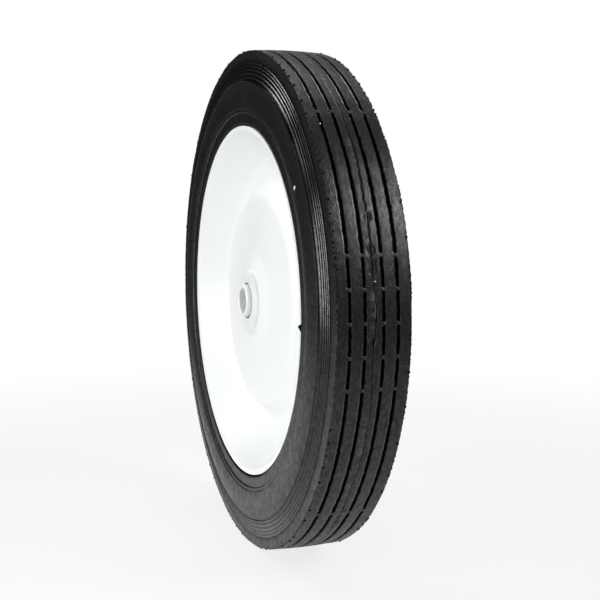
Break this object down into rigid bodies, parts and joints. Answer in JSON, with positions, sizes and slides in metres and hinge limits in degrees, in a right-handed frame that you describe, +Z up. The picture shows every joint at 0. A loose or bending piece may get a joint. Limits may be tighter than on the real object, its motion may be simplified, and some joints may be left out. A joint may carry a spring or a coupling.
{
  "type": "lawn mower wheel",
  "caption": "Lawn mower wheel: a ribbed rubber tyre on dished, white painted steel discs that turn on flanged ball bearings with a plain axle bore.",
  "frame": {"origin": "the wheel's centre, on the axle's axis and midway between the two hub ends", "axes": "+Y along the axle, +Z up with the wheel upright, and the -Y side is the face that the picture shows"},
  "size_m": [0.254, 0.0412, 0.254],
  "materials": {
    "tyre_rubber": "matt moulded rubber",
    "white_paint": "gloss white paint",
    "plated_steel": "bright zinc plating",
    "cage_steel": "pressed steel",
    "ball_steel": "polished"
  },
  "bodies": {
    "inner_races": {"back_inner_race": "plated_steel", "front_inner_race": "plated_steel", "spacer_sleeve": "plated_steel"},
    "wheel": {"tyre": "tyre_rubber", "back_disc": "white_paint", "front_disc": "white_paint", "hub_tube": "plated_steel", "back_bearing_cup": "plated_steel", "front_bearing_cup": "plated_steel"},
    "back_balls": {"back_cage": "cage_steel", "back_ball_1": "ball_steel", "back_ball_2": "ball_steel", "back_ball_3": "ball_steel", "back_ball_4": "ball_steel", "back_ball_5": "ball_steel", "back_ball_6": "ball_steel", "back_ball_7": "ball_steel", "back_ball_8": "ball_steel"},
    "front_balls": {"front_cage": "cage_steel", "front_ball_1": "ball_steel", "front_ball_2": "ball_steel", "front_ball_3": "ball_steel", "front_ball_4": "ball_steel", "front_ball_5": "ball_steel", "front_ball_6": "ball_steel", "front_ball_7": "ball_steel", "front_ball_8": "ball_steel"}
  },
  "joints": [
    {"name": "wheel_spin", "type": "hinge", "parent": "inner_races", "child": "wheel", "pos_m": [0, 0, 0], "axis": [0, 1, 0], "continuous": true},
    {"name": "back_cage_spin", "type": "hinge", "parent": "inner_races", "child": "back_balls", "pos_m": [0, 0.0099, 0], "axis": [0, 1, 0], "continuous": true},
    {"name": "front_cage_spin", "type": "hinge", "parent": "inner_races", "child": "front_balls", "pos_m": [0, -0.0099, 0], "axis": [0, 1, 0], "continuous": true}
  ],
  "couplings": [
    {"joint": "back_cage_spin", "follows": "wheel_spin", "ratio": 0.61545},
    {"joint": "front_cage_spin", "follows": "wheel_spin", "ratio": 0.61545}
  ]
}
